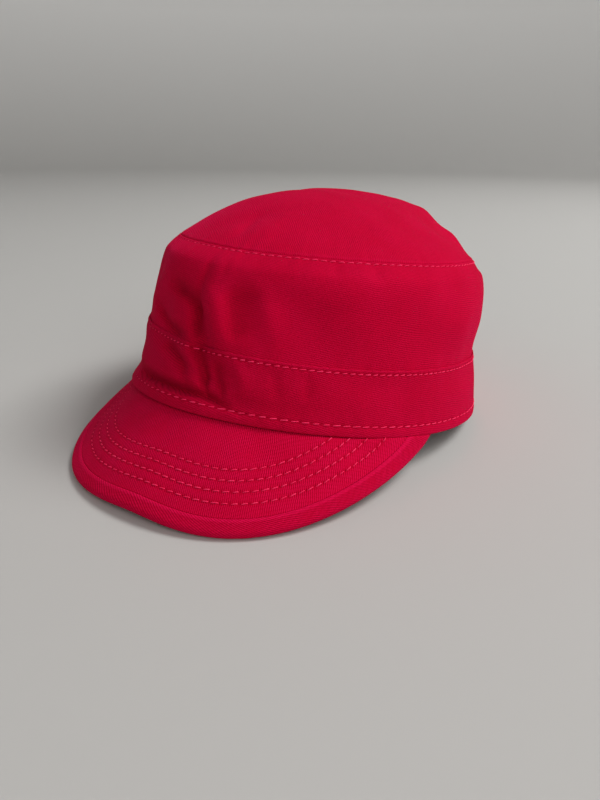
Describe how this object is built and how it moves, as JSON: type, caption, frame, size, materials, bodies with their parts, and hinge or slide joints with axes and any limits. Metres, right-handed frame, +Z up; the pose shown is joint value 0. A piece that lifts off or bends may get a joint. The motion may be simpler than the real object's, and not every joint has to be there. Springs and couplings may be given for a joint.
{
  "type": "cadet cap",
  "caption": "Soft cotton twill cadet cap with an oval domed top, an upright wall, a lapped band and a short curved visor, resting by itself.",
  "frame": {"origin": "on the surface the cap stands on, under the middle of its box", "axes": "+Z up from the surface, -Y towards the visor, +X towards the wearer's left"},
  "size_m": [0.1768, 0.2498, 0.1099],
  "materials": {
    "top_twill": "matt red cotton twill",
    "wall_twill": "matt red cotton twill",
    "band_twill": "matt red cotton twill",
    "visor_twill": "matt red cotton twill",
    "binding_twill": "matt red cotton twill, cut on the bias"
  },
  "bodies": {
    "root": {"crown_top": "top_twill", "side_wall": "wall_twill", "band": "band_twill", "visor": "visor_twill", "visor_binding": "binding_twill"}
  },
  "joints": []
}
